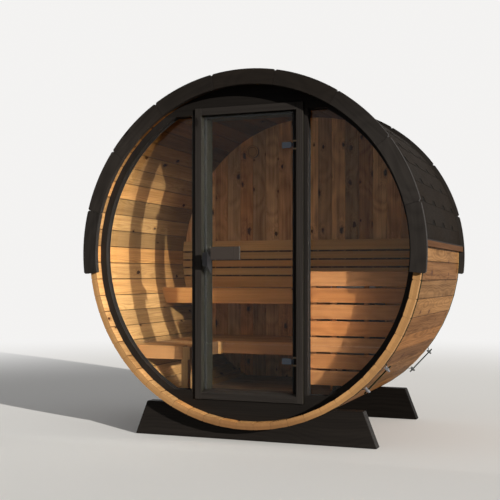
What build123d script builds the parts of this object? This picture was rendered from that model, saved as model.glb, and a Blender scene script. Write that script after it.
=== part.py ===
from build123d import *
import math
import os

# Barrel sauna: a round wall of flat staves on two cradles, with a glazed front.
# Millimetres, +Z up. The barrel lies along Y and its front faces -Y.
# The origin is on the ground under the middle of the barrel.

FIT = 0.3                # clearance between pieces that seat on each other

# Barrel
BARREL_R = 1025.0        # from the axis to the outer faces of the staves
BARREL_L = 1356.0        # length of a stave
GROUND_GAP = 80.0        # from the ground to the lowest stave
STAVES = 60
STAVE_T = 40.0
STAVE_JOINT = 0.4        # open joint between two neighbouring boards
STAVE_BEVEL = 4.0        # bevel along the long edges of a stave
GROUPS = 10              # the wall is divided into this many groups of staves

AXIS_Z = BARREL_R + GROUND_GAP
LOWEST_Z = AXIS_Z - BARREL_R
HIGHEST_Z = AXIS_Z + BARREL_R
FRONT = -BARREL_L / 2
STAVE_IN_R = BARREL_R - STAVE_T
STAVE_STEP = 360.0 / STAVES

# Arched trim boards over the stave ends
TRIM_LAP = 58.0          # from the outer faces of the staves to the inner edge of the trim
TRIM_W = 91.0
TRIM_T = 28.0
TRIM_BOARDS = 9
TRIM_SWEEP = 193.5       # degrees that the nine boards cover together
TRIM_JOINT = 1.6
TRIM_BEVEL = 3.0
TRIM_CORNER = 10.0       # cut-off outer corners of a trim board
TRIM_IN_R = BARREL_R - TRIM_LAP
TRIM_OUT_R = TRIM_IN_R + TRIM_W

# Steel hoops
HOOP_W = 18.0
HOOP_T = 1.6
HOOP_INSET = 45.0        # from the front ends of the staves to the front hoop
HOOP_REAR_INSET = 6.0    # from the rear hoop to the rear ends of the staves
HOOP_GAP_MID = -42.8     # direction of the tie rod, in degrees from +X
HOOP_GAP_HALF = 5.5      # half of the opening in the hoop, in degrees
LUG_ANGLE = 4.4          # from the middle of the opening to a lug, in degrees
LUG_RISE = 26.0          # from the staves to the middle of a lug
LUG_T = 6.0
LUG_W = 30.0
LUG_H = 34.0
ROD_R = 4.0
ROD_SPARE = 28.0         # length of the rod outside a lug
NUT_R = 7.6
NUT_H = 7.0
HOOP_IN_R = BARREL_R / math.cos(math.radians(STAVE_STEP / 2)) + FIT
LUG_R = BARREL_R + LUG_RISE
REAR_HOOP_Y = BARREL_L - HOOP_REAR_INSET - HOOP_W

# Roof
ROOF_T = 5.5
BATTEN_RISE = 27.0       # from the barrel's axis up to the battens
BATTEN_H = 40.0
BATTEN_T = 25.0
BATTEN_LOW_Z = AXIS_Z + BATTEN_RISE

# Cradles
CRADLE_INSET = 348.0     # from the barrel's side to the end of the cradle's top
CRADLE_SPREAD = 80.0     # how much further the cradle reaches on the ground
CRADLE_H = 206.0
CRADLE_T = 68.0
CRADLE_FRONT = 94.0      # from the front ends of the staves to the front cradle
CRADLE_REAR = 32.0       # from the rear cradle to the rear ends of the staves
CRADLE_TOP = BARREL_R - CRADLE_INSET
CRADLE_FOOT = CRADLE_TOP + CRADLE_SPREAD
REAR_CRADLE_Y = BARREL_L - CRADLE_REAR - CRADLE_T

# Front wall and its two windows; depths are measured from the front ends of the staves
WALL_Y = 63.0
WALL_T = 55.0
WINDOW_MARGIN = 79.0     # from the outer faces of the staves to the windows' round edge
SILL_LIFT = 206.0        # from the lowest stave to the windows' lower edge
LINTEL_DROP = 204.0      # from the highest stave to the windows' upper edge
STRIP_W = 24.0           # upright strips of the wall between windows and door frame
LIP_T = 40.0             # front lip that the glass rests against
REBATE = 12.0
GLASS_T = 8.0
GASKET_W = 5.0
GASKET_T = 4.0
WINDOW_R = BARREL_R - WINDOW_MARGIN
SILL_Z = LOWEST_Z + SILL_LIFT
LINTEL_Z = HIGHEST_Z - LINTEL_DROP
WALL_BACK_Y = WALL_Y + WALL_T
PANE_Y = WALL_Y + LIP_T + FIT

# Door frame
FRAME_Y = 51.0
FRAME_D = 130.0
FRAME_HALF = 338.0       # half of the frame's outer width
FRAME_W = 42.0
FRAME_DROP = 48.5        # from the windows' lower edge to the frame's
FRAME_RISE = 40.0        # from the windows' upper edge to the frame's
GROOVE_W = 3.0           # shadow groove in the wall round the frame
GROOVE_D = 12.0
HEAD_H = 43.0
DOOR_SILL_H = 38.0
SILL_RISE = 14.0
STOP_Y = 96.0            # front of the stops that the leaf closes on
LATCH_STOP_W = 18.0
HINGE_STOP_W = 35.0
HEAD_STOP_H = 18.0
DOOR_SEAL_W = 7.0
DOOR_SEAL_T = 6.4
SEAL_INSET = 2.0         # from the edge of a stop to its seal
OPENING_X = FRAME_HALF + STRIP_W
JAMB_X = FRAME_HALF - FRAME_W
FRAME_BACK_Y = FRAME_Y + FRAME_D
FRAME_LOW_Z = SILL_Z - FRAME_DROP
FRAME_TOP_Z = LINTEL_Z + FRAME_RISE
HEAD_Z = FRAME_TOP_Z - HEAD_H
SILL_TOP_Z = FRAME_LOW_Z + DOOR_SILL_H
STEP_Z = SILL_TOP_Z + SILL_RISE

# Door leaf
LEAF_Y = 76.0
LEAF_GAP = 7.0           # round the leaf, apart from its hinged side
HINGE_SIDE_GAP = 28.0
LEAF_LATCH_X = -JAMB_X + LEAF_GAP
LEAF_HINGE_X = JAMB_X - HINGE_SIDE_GAP
LEAF_LOW_Z = STEP_Z + LEAF_GAP
LEAF_TOP_Z = HEAD_Z - LEAF_GAP
LEAF_BACK_Y = LEAF_Y + GLASS_T

# Hinges
PIN_OFFSET = 6.5         # from the edge of the leaf to the hinge's axis
PIN_STANDOFF = 5.0       # from the face of the leaf to the hinge's axis
HINGE_UP = 179.5         # from the leaf's lower edge to the lower hinge
HINGE_DOWN = 192.0       # from the leaf's upper edge to the upper hinge
PLATE_L = 53.0
PLATE_H = 34.0
PLATE_T = 5.5
PLATE_INSET = 10.5       # from the edge of the leaf to the clamping plates
TONGUE_H = 22.0          # thin tongue from the front plate to the knuckle
TONGUE_T = 2.5
KNUCKLE_R = 3.5
HINGE_H = 54.0
KNUCKLE_GAP = 1.0
PIN_R = 1.8
PIN_PLAY = 0.3
ARM_T = 3.0
HINGE_X = LEAF_HINGE_X + PIN_OFFSET
HINGE_Y = LEAF_Y - PIN_STANDOFF
HINGE_LOW_Z = LEAF_LOW_Z + HINGE_UP
HINGE_TOP_Z = LEAF_TOP_Z - HINGE_DOWN

# Lock and handle
LOCK_INSET = 49.0        # from the latch edge of the leaf to the lock
LOCK_L = 183.0
LOCK_REAR_L = 172.0
LOCK_H = 77.0
LOCK_T = 17.0
LOCK_CAP_L = 37.0
LOCK_CAP_STEP = 1.0
LOCK_DROP = 39.0         # from the barrel's axis down to the lock's underside
GRIP_W = 32.0
GRIP_H = 82.0
GRIP_T = 10.0
GRIP_REACH = 64.0        # from the leaf to the front of the grip
GRIP_DROP = 40.0         # from the lock's underside to the grip's lower end
WEB_T = 8.0
WEB_H = 89.0
WEB_DROP = 91.0
LOCK_X = LEAF_LATCH_X + LOCK_INSET
LOCK_LOW_Z = AXIS_Z - LOCK_DROP

# Back wall
BACK_T = 31.0
BACK_INSET = 20.0        # from the back wall to the rear ends of the staves
BOARD_W = 98.5
BOARD_JOINT = 0.4
BOARD_BEVEL = 3.0
VENT_R = 46.0
VENT_T = 14.0
VENT_X = -442.0
VENT_DROP = 261.0        # from the highest stave to the middle of the vent
BACK_Y = BARREL_L - BACK_INSET - BACK_T
VENT_Z = HIGHEST_Z - VENT_DROP

# Floor
FLOOR_LIFT = 170.0       # from the lowest stave to the floor
FLOOR_T = 22.0
FLOOR_BOARD_W = 95.0
FLOOR_JOINT = 1.4
JOIST_X = 250.0
JOIST_W = 45.0
FLOOR_Z = LOWEST_Z + FLOOR_LIFT
ROOM_Y = FRAME_BACK_Y + FIT

# Heater and its slatted guard
GUARD_SIDE_GAP = 675.0   # from the round wall to the guard's side
GUARD_FRONT_GAP = 39.0   # from the door frame to the guard
GUARD_TOP_H = 745.0
GUARD_LOW_H = 81.0       # from the floor to the lowest slat
GUARD_SLATS = 7
GUARD_SLAT_GAP = 11.5
GUARD_T = 22.0
GUARD_POST = 28.0
GUARD_BATTEN_W = 24.0
GUARD_BATTENS = (155.0, 350.0)   # from the guard's side to the middles of its battens
HEATER_SIDE_GAP = 113.0
HEATER_FRONT_GAP = 120.0
HEATER_REAR_GAP = 100.0  # from the heater to the lower bench
HEATER_W = 270.0
HEATER_D = 250.0
HEATER_H = 435.0
HEATER_TOP_H = 665.0
HEATER_SHEET = 3.0
HEATER_BOWL = 120.0      # depth of the open top that holds the stones
HEATER_LEG = 20.0
HEATER_LEG_INSET = 5.0
STONES_RISE = 35.0       # how far the stones stand out of the heater
STONES_GAP = 1.0
GUARD_X = STAVE_IN_R - GUARD_SIDE_GAP
GUARD_Y = FRAME_BACK_Y + GUARD_FRONT_GAP
GUARD_TOP_Z = FLOOR_Z + GUARD_TOP_H
GUARD_LOW_Z = FLOOR_Z + GUARD_LOW_H
GUARD_PITCH = (GUARD_TOP_Z - GUARD_LOW_Z + GUARD_SLAT_GAP) / GUARD_SLATS
HEATER_X = GUARD_X + HEATER_SIDE_GAP
HEATER_Y = GUARD_Y + HEATER_FRONT_GAP
HEATER_TOP_Z = FLOOR_Z + HEATER_TOP_H

# Benches
SEAT_T = 27.0
SEAT_BOARD_W = 90.0
SLAT_GAP = 8.0
APRON_T = 27.0
BEARER_W = 40.0
BEARER_H = 42.0
LOW_SEAT_H = 290.0
LOW_APRON_H = 82.0
ARM_SIDE_GAP = 95.0      # from the door frame to the open side of the arm
ARM_FRONT_GAP = 40.0     # from the front wall to the arm
BLOCK_W = 47.0           # blocks in the corners of the arm
BLOCK_PROUD = 14.0       # how far they stand out of the arm's side
BLOCK_DROP = 6.0         # from the seat down to the tops of the blocks
LEG_W = 43.0
LEG_D = 42.0
BENCH_STEP = 180.0       # from the front of the lower bench to the upper bench
HIGH_SEAT_RISE = 348.0
HIGH_APRON_H = 106.0
LOW_BEARER_INSET = 485.0     # from the round wall to the outer bearers
HIGH_BEARER_INSET = 385.0
REST_RISE = 336.0
REST_GAP = 6.5
REST_HEIGHTS = (74.0, 52.0, 50.0, 52.0, 80.0)
REST_T = 20.0
REST_END_GAP = 3.0       # from the ends of the backrest to the round wall
REST_BATTEN_T = 20.0
REST_BATTEN_INSET = 365.0
REST_BATTEN_DROP = 10.0
LOW_SEAT_Z = FLOOR_Z + LOW_SEAT_H
HIGH_SEAT_Z = LOW_SEAT_Z + HIGH_SEAT_RISE
REST_TOP_Z = HIGH_SEAT_Z + REST_RISE
ARM_X = -FRAME_HALF - ARM_SIDE_GAP
ARM_Y = WALL_BACK_Y + ARM_FRONT_GAP
LOW_BACK_Y = HEATER_Y + HEATER_D + HEATER_REAR_GAP
HIGH_FRONT_Y = LOW_BACK_Y + BENCH_STEP
GUARD_END_GAP = 30.0     # from the guard to the lower bench
GUARD_BACK_Y = LOW_BACK_Y - GUARD_END_GAP

WIDE = 2 * BARREL_R      # more than any width or height, for cuts

os.makedirs("parts", exist_ok=True)


def depth(y):
    """Y of a plane that lies y behind the front ends of the staves."""
    return FRONT + y


def on_rim(radius, angle):
    """Point at a distance and direction from the barrel's axis, in X and Z."""
    a = math.radians(angle)
    return Vector(radius * math.cos(a), AXIS_Z + radius * math.sin(a))


def block(x0, x1, y0, y1, z0, z1):
    """Box between two corners, with its depths measured from the front."""
    box = Box(x1 - x0, y1 - y0, z1 - z0)
    return Pos((x0 + x1) / 2, depth((y0 + y1) / 2), (z0 + z1) / 2) * box


def prism(points, y0, y1):
    """Outline in X and Z, extruded from depth y0 to depth y1."""
    face = make_face(Polyline(*points, close=True))
    placed = Plane(origin=(0, depth(y1), 0), x_dir=(1, 0, 0), z_dir=(0, -1, 0)) * face
    return extrude(placed, amount=y1 - y0)


def side_prism(points, x0, x1):
    """Outline in depth and Z, extruded from x0 to x1."""
    face = make_face(Polyline(*[(depth(y), z) for y, z in points], close=True))
    placed = Plane(origin=(x0, 0, 0), x_dir=(0, 1, 0), z_dir=(1, 0, 0)) * face
    return extrude(placed, amount=x1 - x0)


def drum(radius, y0, y1):
    """Solid cylinder on the barrel's axis."""
    body = Cylinder(radius, y1 - y0, rotation=(90, 0, 0))
    return Pos(0, depth((y0 + y1) / 2), AXIS_Z) * body


def tube(inner, outer, y0, y1):
    """Hollow cylinder on the barrel's axis."""
    return drum(outer, y0, y1) - drum(inner, y0 - 1, y1 + 1)


def on_flats(radius, angle):
    """Point on a rim that has one flat for each stave."""
    off = (angle + STAVE_STEP / 2) % STAVE_STEP - STAVE_STEP / 2
    return on_rim(radius / math.cos(math.radians(off)), angle)


def hollow(gap, y0, y1):
    """The room inside the staves' flat inner faces, less a gap, between two depths."""
    corners = [on_flats(STAVE_IN_R - gap, (k + 0.5) * STAVE_STEP) for k in range(STAVES)]
    return prism([(p.X, p.Y) for p in corners], y0, y1)


def clip(shape, gap=FIT):
    """The share of a shape that lies inside the staves."""
    return shape & hollow(gap, 0, BARREL_L)


def radial(angle, shape):
    """Turn a shape about the barrel's axis, from +X towards +Z."""
    return Pos(0, 0, AXIS_Z) * Rot(0, -angle, 0) * shape


def save(name, solids):
    """Write one sub-part, made of one or more separate solids."""
    solids = list(solids)
    shape = solids[0] if len(solids) == 1 else Compound(children=solids)
    export_step(shape, f"parts/{name}.step")


def solids_of(shape):
    return list(shape.solids())


# Barrel wall
def stave(angle):
    """One flat board with bevelled edges, standing on the barrel's polygon."""
    slope = math.tan(math.radians(STAVE_STEP / 2))
    half_joint = STAVE_JOINT / 2

    def edge(radius):
        return radius * slope - half_joint

    inner = STAVE_IN_R
    outer = BARREL_R
    cut = STAVE_BEVEL
    side = [
        (inner, edge(inner) - cut),
        (inner + cut, edge(inner + cut)),
        (outer - cut, edge(outer - cut)),
        (outer, edge(outer) - cut),
    ]
    points = side + [(r, -w) for r, w in reversed(side)]
    return radial(angle, prism(points, 0, BARREL_L))


def stave_groups():
    """The staves in groups, numbered clockwise from the top."""
    for g in range(GROUPS):
        first = g * STAVES // GROUPS
        last = (g + 1) * STAVES // GROUPS
        save(f"staves_{g + 1:02d}", [stave(90.0 - k * STAVE_STEP) for k in range(first, last)])


# Curved bars
def arc_bar(r0, r1, y0, y1, start, sweep, bevel=0.0):
    """Curved bar on the barrel's axis, with bevelled front edges."""
    outline = [
        (r0, depth(y1)),
        (r0, depth(y0) + bevel),
        (r0 + bevel, depth(y0)),
        (r1 - bevel, depth(y0)),
        (r1, depth(y0) + bevel),
        (r1, depth(y1)),
    ]
    if bevel == 0.0:
        outline = [outline[0], outline[1], outline[4], outline[5]]
    face = make_face(Polyline(*outline, close=True))
    ring = revolve(face, axis=Axis.Y, revolution_arc=sweep)
    return Pos(0, 0, AXIS_Z) * Rot(0, -start - sweep, 0) * ring


# Trim
def corner_cut(angle, turn, y0, y1):
    """Wedge that takes the outer corner off one end of a trim board."""
    over = 1.0
    reach = TRIM_CORNER + over
    points = [
        (TRIM_OUT_R - reach, -turn * over),
        (TRIM_OUT_R + over, turn * reach),
        (TRIM_OUT_R + over, -turn * over),
    ]
    return radial(angle, prism(points, y0 - 1, y1 + 1))


def trim_board(start, sweep, y0, y1):
    """One curved board with its outer corners cut off."""
    board = arc_bar(TRIM_IN_R, TRIM_OUT_R, y0, y1, start, sweep, TRIM_BEVEL)
    for angle, turn in ((start, 1), (start + sweep, -1)):
        board = board - corner_cut(angle, turn, y0, y1)
    return board


def trim_arch(end, rear):
    """Curved boards that cover the ends of the upper staves."""
    step = TRIM_SWEEP / TRIM_BOARDS
    joint = math.degrees(TRIM_JOINT / TRIM_OUT_R)
    first = 90.0 - TRIM_SWEEP / 2
    boards = []
    for i in range(TRIM_BOARDS):
        board = trim_board(first + i * step + joint / 2, step - joint, -TRIM_T, 0)
        boards.append(mirror(board, Plane.XZ) if rear else board)
    save(f"{end}_trim_arch", [s for b in boards for s in solids_of(b)])


# Hoops
def hoop_band(y0, y1):
    """Open band that lies flat on every stave."""
    start = HOOP_GAP_MID + HOOP_GAP_HALF
    end = HOOP_GAP_MID + 360.0 - HOOP_GAP_HALF
    bends = [(k + 0.5) * STAVE_STEP for k in range(-STAVES, STAVES)]
    angles = [start] + [bend for bend in bends if start < bend < end] + [end]
    inner = [on_flats(BARREL_R + FIT, angle) for angle in angles]
    outer = [on_flats(BARREL_R + FIT + HOOP_T, angle) for angle in angles]
    return prism([(p.X, p.Y) for p in inner + outer[::-1]], y0, y1)


def hoop(name, y0):
    """Band round the staves, its two lugs, and the rod that draws them together."""
    y1 = y0 + HOOP_W
    mid_y = (y0 + y1) / 2
    band = hoop_band(y0, y1)
    bite = math.degrees(HOOP_T / BARREL_R)
    for side in (-1, 1):
        root = on_flats(BARREL_R + FIT + HOOP_T / 2, HOOP_GAP_MID + side * (HOOP_GAP_HALF + bite))
        tip = on_rim(LUG_R, HOOP_GAP_MID + side * LUG_ANGLE)
        along = (tip - root).normalized()
        across = Vector(-along.Y, along.X) * (HOOP_T / 2)
        corners = (root + across, root - across, tip - across, tip + across)
        tail = prism([(p.X, p.Y) for p in corners], y0, y1)
        place = Pos(LUG_R, depth(mid_y), 0)
        hole = place * Rot(0, side * LUG_ANGLE, 0) * Cylinder(ROD_R + FIT, 4 * LUG_T)
        lug = place * Box(LUG_H, LUG_W, LUG_T) - hole
        band = band + tail + radial(HOOP_GAP_MID + side * LUG_ANGLE, lug)
    save(name, solids_of(band) + [hoop_rod(mid_y)])


def hoop_rod(mid_y):
    """Threaded rod through the two lugs, with a nut outside each."""
    lean = math.radians(LUG_ANGLE)
    half = LUG_R * math.sin(lean)
    seat = half + LUG_T / 2 / math.cos(lean) + NUT_R * math.tan(lean) + FIT
    rod = Cylinder(ROD_R, 2 * (half + ROD_SPARE))
    nut = extrude(RegularPolygon(NUT_R, 6), amount=NUT_H)
    rod = rod + Pos(0, 0, seat) * nut + Pos(0, 0, -seat - NUT_H) * nut
    return radial(HOOP_GAP_MID, Pos(LUG_R * math.cos(lean), depth(mid_y), 0) * rod)


# Roof
def roof():
    inner = HOOP_IN_R + HOOP_T + FIT
    low = math.degrees(math.asin((BATTEN_LOW_Z + BATTEN_H + FIT - AXIS_Z) / inner))
    y0 = FIT
    y1 = BARREL_L - FIT
    cover = arc_bar(inner, inner + ROOF_T, y0, y1, low, 180.0 - 2 * low)
    save("roof_cover", solids_of(cover))
    x0 = BARREL_R + FIT
    batten = block(x0, x0 + BATTEN_T, y0, y1, BATTEN_LOW_Z, BATTEN_LOW_Z + BATTEN_H)
    for y in (HOOP_INSET, REAR_HOOP_Y):
        batten = batten - tube(STAVE_IN_R, inner, y - FIT, y + HOOP_W + FIT)
    save("roof_battens", solids_of(batten) + solids_of(mirror(batten, Plane.YZ)))


# Cradles
def cradle(name, y0):
    y1 = y0 + CRADLE_T
    body = prism([(-CRADLE_FOOT, 0), (CRADLE_FOOT, 0), (CRADLE_TOP, CRADLE_H),
                  (-CRADLE_TOP, CRADLE_H)], y0, y1)
    save(name, [body - drum(HOOP_IN_R, y0 - 1, y1 + 1)])


# Front wall
def openings(inset, y0, y1):
    """Both windows between two depths, with all their edges moved inwards by an inset."""
    high = block(-WIDE, WIDE, y0 - 1, y1 + 1, SILL_Z + inset, LINTEL_Z - inset)
    middle = block(-OPENING_X - inset, OPENING_X + inset, y0 - 1, y1 + 1, 0, 2 * WIDE)
    return (drum(WINDOW_R - inset, y0, y1) & high) - middle


def around_frame(gap, y0, y1):
    """Cut in the wall that leaves a gap round the door frame."""
    half = FRAME_HALF + gap
    return block(-half, half, y0, y1, FRAME_LOW_Z - gap, FRAME_TOP_Z + gap)


def front_wall():
    y0 = WALL_Y - 1
    y1 = WALL_BACK_Y + 1
    wall = hollow(FIT, WALL_Y, WALL_BACK_Y)
    wall = wall - openings(0, y0, y1) - openings(-REBATE, WALL_Y + LIP_T, y1)
    wall = wall - around_frame(FIT, y0, y1) - around_frame(GROOVE_W, y0, WALL_Y + GROOVE_D)
    shares = {
        "front_wall_lower_panel": (-WIDE, WIDE, 0, SILL_Z),
        "front_wall_header": (-WIDE, WIDE, LINTEL_Z, 2 * WIDE),
        "front_wall_left_arc": (-WIDE, 0, SILL_Z, LINTEL_Z),
        "front_wall_right_arc": (0, WIDE, SILL_Z, LINTEL_Z),
    }
    for name, (x0, x1, z0, z1) in shares.items():
        save(name, solids_of(wall & block(x0, x1, y0, y1, z0, z1)))


def window_panes():
    """The two fixed panes, and a gasket in front of each."""
    panes = solids_of(openings(FIT - REBATE, PANE_Y, PANE_Y + GLASS_T))
    panes.sort(key=lambda pane: pane.center().X)
    save("window_glass_left", panes[:1])
    save("window_glass_right", panes[1:])
    y1 = PANE_Y - FIT
    y0 = y1 - GASKET_T
    gaskets = openings(FIT, y0, y1) - openings(FIT + GASKET_W, y0 - 1, y1 + 1)
    save("window_seals", solids_of(gaskets))


# Door frame
def door_frame():
    left = -JAMB_X + FIT
    right = JAMB_X - FIT
    front_stop_y = STOP_Y - FIT
    for name, sign, stop in (("door_jamb_left", -1, LATCH_STOP_W), ("door_jamb_right", 1, HINGE_STOP_W)):
        outline = [(FRAME_HALF, FRAME_Y), (FRAME_HALF, FRAME_BACK_Y), (JAMB_X - stop, FRAME_BACK_Y),
                   (JAMB_X - stop, STOP_Y), (JAMB_X, STOP_Y), (JAMB_X, FRAME_Y)]
        face = make_face(Polyline(*[(sign * x, depth(y)) for x, y in outline], close=True))
        jamb = extrude(Plane.XY.offset(FRAME_LOW_Z) * face, amount=FRAME_TOP_Z - FRAME_LOW_Z)
        save(name, solids_of(jamb))
    left_stop = left + LATCH_STOP_W
    right_stop = right - HINGE_STOP_W
    head = block(left, right, FRAME_Y, front_stop_y, HEAD_Z, FRAME_TOP_Z)
    head = head + block(left_stop, right_stop, front_stop_y, FRAME_BACK_Y, HEAD_Z - HEAD_STOP_H, FRAME_TOP_Z)
    save("door_head", solids_of(head))
    slope = [(FRAME_Y, FRAME_LOW_Z), (front_stop_y, FRAME_LOW_Z), (front_stop_y, STEP_Z),
             (FRAME_Y, SILL_TOP_Z)]
    sill = side_prism(slope, left, right)
    sill = sill + block(left_stop, right_stop, front_stop_y, FRAME_BACK_Y, FRAME_LOW_Z, STEP_Z)
    save("door_sill", solids_of(sill))


def door_seals():
    """Rubber strips on the stops beside and over the leaf."""
    y1 = STOP_Y - FIT
    y0 = y1 - DOOR_SEAL_T
    low = STEP_Z + FIT
    high = HEAD_Z - HEAD_STOP_H + SEAL_INSET
    latch = -JAMB_X + LATCH_STOP_W - SEAL_INSET
    hinge = JAMB_X - HINGE_STOP_W + SEAL_INSET
    save("door_seals", [
        block(latch - DOOR_SEAL_W, latch, y0, y1, low, high),
        block(hinge, hinge + DOOR_SEAL_W, y0, y1, low, high),
        block(latch - DOOR_SEAL_W, hinge + DOOR_SEAL_W, y0, y1, high + FIT, high + FIT + DOOR_SEAL_W),
    ])


# Door leaf
def door_leaf():
    save("door_glass", [block(LEAF_LATCH_X, LEAF_HINGE_X, LEAF_Y, LEAF_BACK_Y, LEAF_LOW_Z, LEAF_TOP_Z)])
    heights = (HINGE_TOP_Z, HINGE_LOW_Z)
    save("door_hinge_clamps", [s for z in heights for s in hinge_clamp(z)])
    save("door_hinge_brackets", [s for z in heights for s in solids_of(hinge_bracket(z))])


def hinge_clamp(z):
    """Two plates that hold the glass; the front one ends in the knuckle."""
    x1 = LEAF_HINGE_X - PLATE_INSET
    x0 = x1 - PLATE_L
    face = LEAF_Y - FIT
    back = LEAF_BACK_Y + FIT
    low = z - PLATE_H / 2
    high = z + PLATE_H / 2
    front_plate = block(x0, x1, face - PLATE_T, face, low, high)
    back_plate = block(x0, x1, back, back + PLATE_T, low, high)
    tongue = block(x1 - PLATE_T, HINGE_X, face - TONGUE_T, face, z - TONGUE_H / 2, z + TONGUE_H / 2)
    axis = Pos(HINGE_X, depth(HINGE_Y), z)
    knuckle = axis * Cylinder(KNUCKLE_R, PLATE_H)
    bore = axis * Cylinder(PIN_R + PIN_PLAY, 2 * PLATE_H)
    return solids_of(front_plate + tongue + knuckle - bore) + [back_plate]


def hinge_bracket(z):
    """Pin with an ear over and under the knuckle, held by two arms on the jamb."""
    part = Pos(HINGE_X, depth(HINGE_Y), z) * Cylinder(PIN_R, HINGE_H)
    height = (HINGE_H - PLATE_H) / 2 - KNUCKLE_GAP
    for side in (-1, 1):
        mid = z + side * (HINGE_H - height) / 2
        ear = Pos(HINGE_X, depth(HINGE_Y), mid) * Cylinder(KNUCKLE_R, height)
        arm = block(HINGE_X, JAMB_X - FIT, HINGE_Y, HINGE_Y + ARM_T, mid - height / 2, mid + height / 2)
        part = part + ear + arm
    return part


def lock_and_handle():
    face = LEAF_Y - FIT
    back = LEAF_BACK_Y + FIT
    top = LOCK_LOW_Z + LOCK_H
    end = LOCK_X + LOCK_L
    split = end - LOCK_CAP_L
    front = face - LOCK_T
    case = block(LOCK_X, split - LOCK_CAP_STEP / 2, front, face, LOCK_LOW_Z, top)
    cap = block(split + LOCK_CAP_STEP / 2, end, front + LOCK_CAP_STEP, face, LOCK_LOW_Z, top)
    rear = block(LOCK_X, LOCK_X + LOCK_REAR_L, back, back + LOCK_T, LOCK_LOW_Z, top)
    save("door_lock_case", [case, cap, rear])
    side = LOCK_X - FIT
    grip_y = LEAF_Y - GRIP_REACH
    grip_z = LOCK_LOW_Z - GRIP_DROP
    web_z = LOCK_LOW_Z - WEB_DROP
    outline = [(face, web_z), (face, web_z + WEB_H), (grip_y, grip_z + GRIP_H), (grip_y, grip_z)]
    web = side_prism(outline, side - WEB_T, side)
    grip = block(side - GRIP_W, side, grip_y, grip_y + GRIP_T, grip_z, grip_z + GRIP_H)
    save("door_handle", solids_of(web + grip))


# Back wall
def back_wall():
    """Upright boards with bevelled edges, cut to the shape of the barrel."""
    disc = hollow(FIT, BACK_Y, BACK_Y + BACK_T)
    count = math.ceil(STAVE_IN_R / BOARD_W)
    half = (BOARD_W - BOARD_JOINT) / 2
    y0 = depth(BACK_Y)
    y1 = depth(BACK_Y + BACK_T)
    b = BOARD_BEVEL
    corners = [(-half, y0 + b), (b - half, y0), (half - b, y0), (half, y0 + b),
               (half, y1 - b), (half - b, y1), (b - half, y1), (-half, y1 - b)]
    plank = extrude(make_face(Polyline(*corners, close=True)), amount=2 * WIDE)
    boards = []
    for i in range(-count, count + 1):
        piece = (Pos(i * BOARD_W, 0, 0) * plank) & disc
        if piece is not None:
            boards += solids_of(piece)
    save("back_wall", boards)


def vent():
    """Round wooden cover on the inner face of the back wall."""
    place = Pos(VENT_X, depth(BACK_Y - FIT - VENT_T / 2), VENT_Z)
    save("back_wall_vent", [place * Cylinder(VENT_R, VENT_T, rotation=(90, 0, 0))])


# Floor
def floor():
    z0 = FLOOR_Z - FLOOR_T
    count = round((BACK_Y - ROOM_Y) / FLOOR_BOARD_W)
    pitch = (BACK_Y - FIT - ROOM_Y) / count
    boards = []
    for i in range(count):
        y = ROOM_Y + i * pitch
        boards.append(clip(block(-WIDE, WIDE, y, y + pitch - FLOOR_JOINT, z0, FLOOR_Z)))
    joists = []
    for x in (-JOIST_X, JOIST_X):
        joists.append(clip(block(x - JOIST_W / 2, x + JOIST_W / 2, ROOM_Y, BACK_Y - FIT, 0, z0 - FIT)))
    save("floor", boards + joists)


# Benches
def slats(y0, y1, x0, x1, top):
    """Seat boards side by side between two depths."""
    count = max(1, round((y1 - y0 + SLAT_GAP) / (SEAT_BOARD_W + SLAT_GAP)))
    width = (y1 - y0 + SLAT_GAP) / count - SLAT_GAP
    rows = [y0 + i * (width + SLAT_GAP) for i in range(count)]
    return [clip(block(x0, x1, y, y + width, top - SEAT_T, top)) for y in rows]


def bearers(inset, front_y, top):
    """Three bearers under a seat, from its apron to the back wall."""
    reach = STAVE_IN_R - inset
    half = BEARER_W / 2
    return [block(x - half, x + half, front_y + APRON_T + FIT, BACK_Y - FIT, top - BEARER_H, top)
            for x in (-reach, 0, reach)]


def lower_bench():
    """Bench along the back with an arm on the left; blocks and a leg carry the arm."""
    seat_under = LOW_SEAT_Z - SEAT_T
    apron_z = LOW_SEAT_Z - LOW_APRON_H
    inner = ARM_X - APRON_T
    block_x1 = ARM_X + BLOCK_PROUD
    block_x0 = block_x1 - BLOCK_W
    block_z1 = LOW_SEAT_Z - BLOCK_DROP
    front_block = (ARM_Y, ARM_Y + BLOCK_W)
    rear_block = (LOW_BACK_Y - FIT - BLOCK_W, LOW_BACK_Y - FIT)
    blocks = []
    notches = []
    for y0, y1 in (front_block, rear_block):
        blocks.append(block(block_x0, block_x1, y0, y1, apron_z, block_z1))
        notches.append(block(block_x0 - FIT, WIDE, y0 - FIT, y1 + FIT, 0, WIDE))
    leg_x0 = ARM_X - LEG_W
    leg = block(leg_x0, ARM_X, ARM_Y, ARM_Y + LEG_D, FLOOR_Z + FIT, apron_z - FIT)
    save("lower_bench_frame", blocks + [leg] + bearers(LOW_BEARER_INSET, LOW_BACK_Y, seat_under - FIT))

    arm = slats(ARM_Y + APRON_T + FIT, LOW_BACK_Y - FIT, -WIDE, inner - FIT, LOW_SEAT_Z)
    arm = [board - notches[0] - notches[1] for board in arm]
    back = slats(LOW_BACK_Y + APRON_T + FIT, BACK_Y - FIT, -WIDE, WIDE, LOW_SEAT_Z)
    save("lower_bench_seat", [s for board in arm + back for s in solids_of(board)])

    front = clip(block(-WIDE, block_x0 - FIT, ARM_Y, ARM_Y + APRON_T, apron_z, LOW_SEAT_Z))
    side = block(inner, ARM_X, front_block[1] + FIT, rear_block[0] - FIT, apron_z, LOW_SEAT_Z)
    main = clip(block(-WIDE, WIDE, LOW_BACK_Y, LOW_BACK_Y + APRON_T, apron_z, LOW_SEAT_Z))
    save("lower_bench_apron", solids_of(front) + [side] + solids_of(main))


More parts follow.
